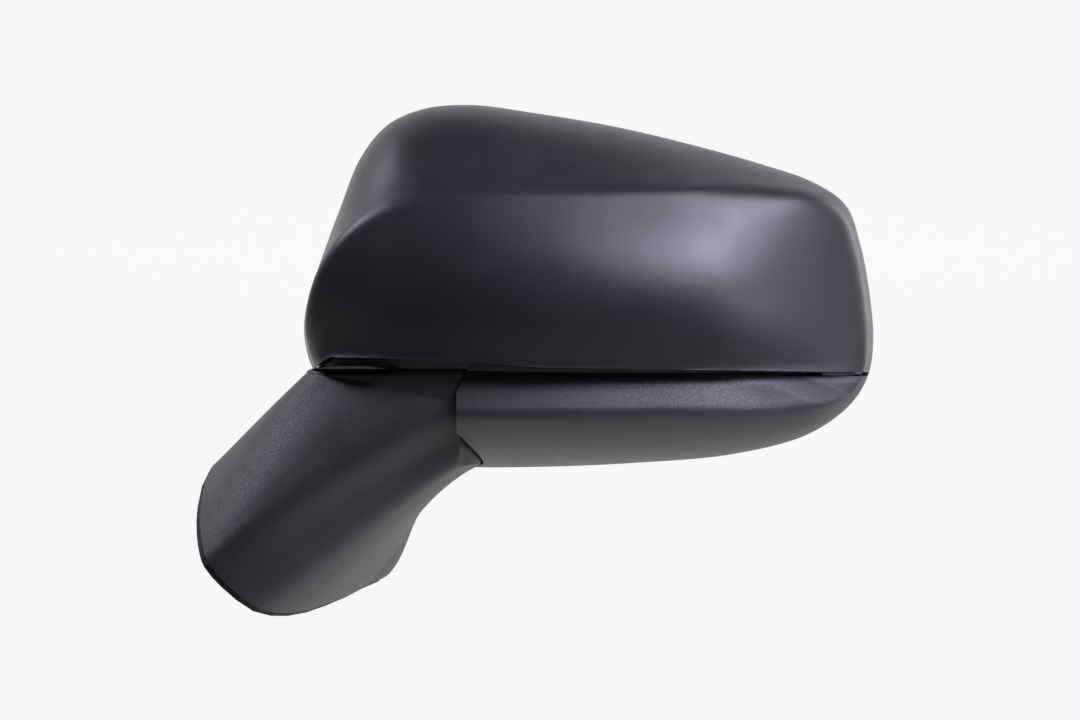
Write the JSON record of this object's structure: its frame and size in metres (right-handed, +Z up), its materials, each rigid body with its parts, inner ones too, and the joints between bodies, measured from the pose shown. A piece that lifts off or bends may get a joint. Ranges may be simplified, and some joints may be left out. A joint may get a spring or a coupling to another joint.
{
  "type": "car side mirror",
  "caption": "Left door mirror with a folding head, painted cap, textured lower cover and stalk, and power-adjusted glass.",
  "frame": {"origin": "middle of the flat face that meets the door", "axes": "+X outboard along the glass, +Y rearward, the way the glass faces, +Z up"},
  "size_m": [0.2819, 0.1524, 0.213],
  "materials": {
    "painted_cap": "satin",
    "textured_plastic": "fine grain",
    "frame_plastic": "matte",
    "cast_metal": "as cast",
    "steel": "zinc plated",
    "rubber": "matte",
    "mirror_glass": "polished",
    "acetal": "moulded",
    "heater_foil": "foil"
  },
  "bodies": {
    "foot": {"foot_cover": "textured_plastic", "foot_bracket": "cast_metal", "base_gasket": "rubber", "threaded_insert_1": "steel", "threaded_insert_2": "steel", "threaded_insert_3": "steel", "harness_grommet": "rubber", "foot_harness": "rubber", "pivot_screw_1": "steel", "pivot_screw_2": "steel", "pivot_screw_3": "steel", "pivot_shaft": "steel", "detent_plate": "steel", "pivot_spring": "steel", "spring_washer": "steel", "lock_ring": "steel"},
    "head": {"cap": "painted_cap", "lower_cover": "textured_plastic", "rear_housing": "textured_plastic", "head_frame": "frame_plastic", "detent_ring": "steel", "pivot_bush": "acetal", "actuator_base": "acetal", "actuator_cover": "acetal", "actuator_screw_1": "steel", "actuator_screw_2": "steel", "actuator_screw_3": "steel", "motor_yaw": "steel", "motor_pitch": "steel", "head_harness": "rubber", "harness_connector": "frame_plastic"},
    "gimbal": {"gimbal_ring": "acetal"},
    "glass": {"glass_holder": "frame_plastic", "heater_pad": "heater_foil", "mirror_glass": "mirror_glass"},
    "yaw_plunger": {"plunger_yaw": "acetal"},
    "pitch_plunger": {"plunger_pitch": "acetal"},
    "yaw_gear": {"gear_yaw": "acetal"},
    "pitch_gear": {"gear_pitch": "acetal"},
    "yaw_worm": {"worm_yaw": "steel"},
    "pitch_worm": {"worm_pitch": "steel"}
  },
  "joints": [
    {"name": "head_fold", "type": "hinge", "parent": "foot", "child": "head", "pos_m": [0.047, -0.038, 0.07], "axis": [0, 0, 1], "range_deg": [-55, 50]},
    {"name": "glass_yaw", "type": "hinge", "parent": "head", "child": "gimbal", "pos_m": [0.132, -0.009, 0.106], "axis": [0, 0, 1], "range_deg": [-7.5, 7.5]},
    {"name": "glass_pitch", "type": "hinge", "parent": "gimbal", "child": "glass", "pos_m": [0.132, -0.009, 0.106], "axis": [1, 0, 0], "range_deg": [-7.5, 7.5]},
    {"name": "yaw_plunger_slide", "type": "slide", "parent": "head", "child": "yaw_plunger", "axis": [0, 1, 0], "range_m": [-0.0037, 0.0037]},
    {"name": "pitch_plunger_slide", "type": "slide", "parent": "head", "child": "pitch_plunger", "axis": [0, 1, 0], "range_m": [-0.0037, 0.0037]},
    {"name": "yaw_gear_spin", "type": "hinge", "parent": "head", "child": "yaw_gear", "pos_m": [0.159, -0.035, 0.106], "axis": [0, 1, 0], "range_deg": [-110, 110]},
    {"name": "pitch_gear_spin", "type": "hinge", "parent": "head", "child": "pitch_gear", "pos_m": [0.132, -0.035, 0.133], "axis": [0, 1, 0], "range_deg": [-110, 110]},
    {"name": "yaw_worm_spin", "type": "hinge", "parent": "head", "child": "yaw_worm", "pos_m": [0.145, -0.035, 0.106], "axis": [0, 0, 1], "range_deg": [-640, 640]},
    {"name": "pitch_worm_spin", "type": "hinge", "parent": "head", "child": "pitch_worm", "pos_m": [0.132, -0.035, 0.119], "axis": [1, 0, 0], "range_deg": [-640, 640]}
  ],
  "couplings": [
    {"joint": "yaw_plunger_slide", "follows": "glass_yaw", "m_per_rad": 0.027},
    {"joint": "pitch_plunger_slide", "follows": "glass_pitch", "m_per_rad": -0.027},
    {"joint": "yaw_gear_spin", "follows": "glass_yaw", "ratio": 14},
    {"joint": "pitch_gear_spin", "follows": "glass_pitch", "ratio": -14},
    {"joint": "yaw_worm_spin", "follows": "glass_yaw", "ratio": 84},
    {"joint": "pitch_worm_spin", "follows": "glass_pitch", "ratio": 84}
  ]
}
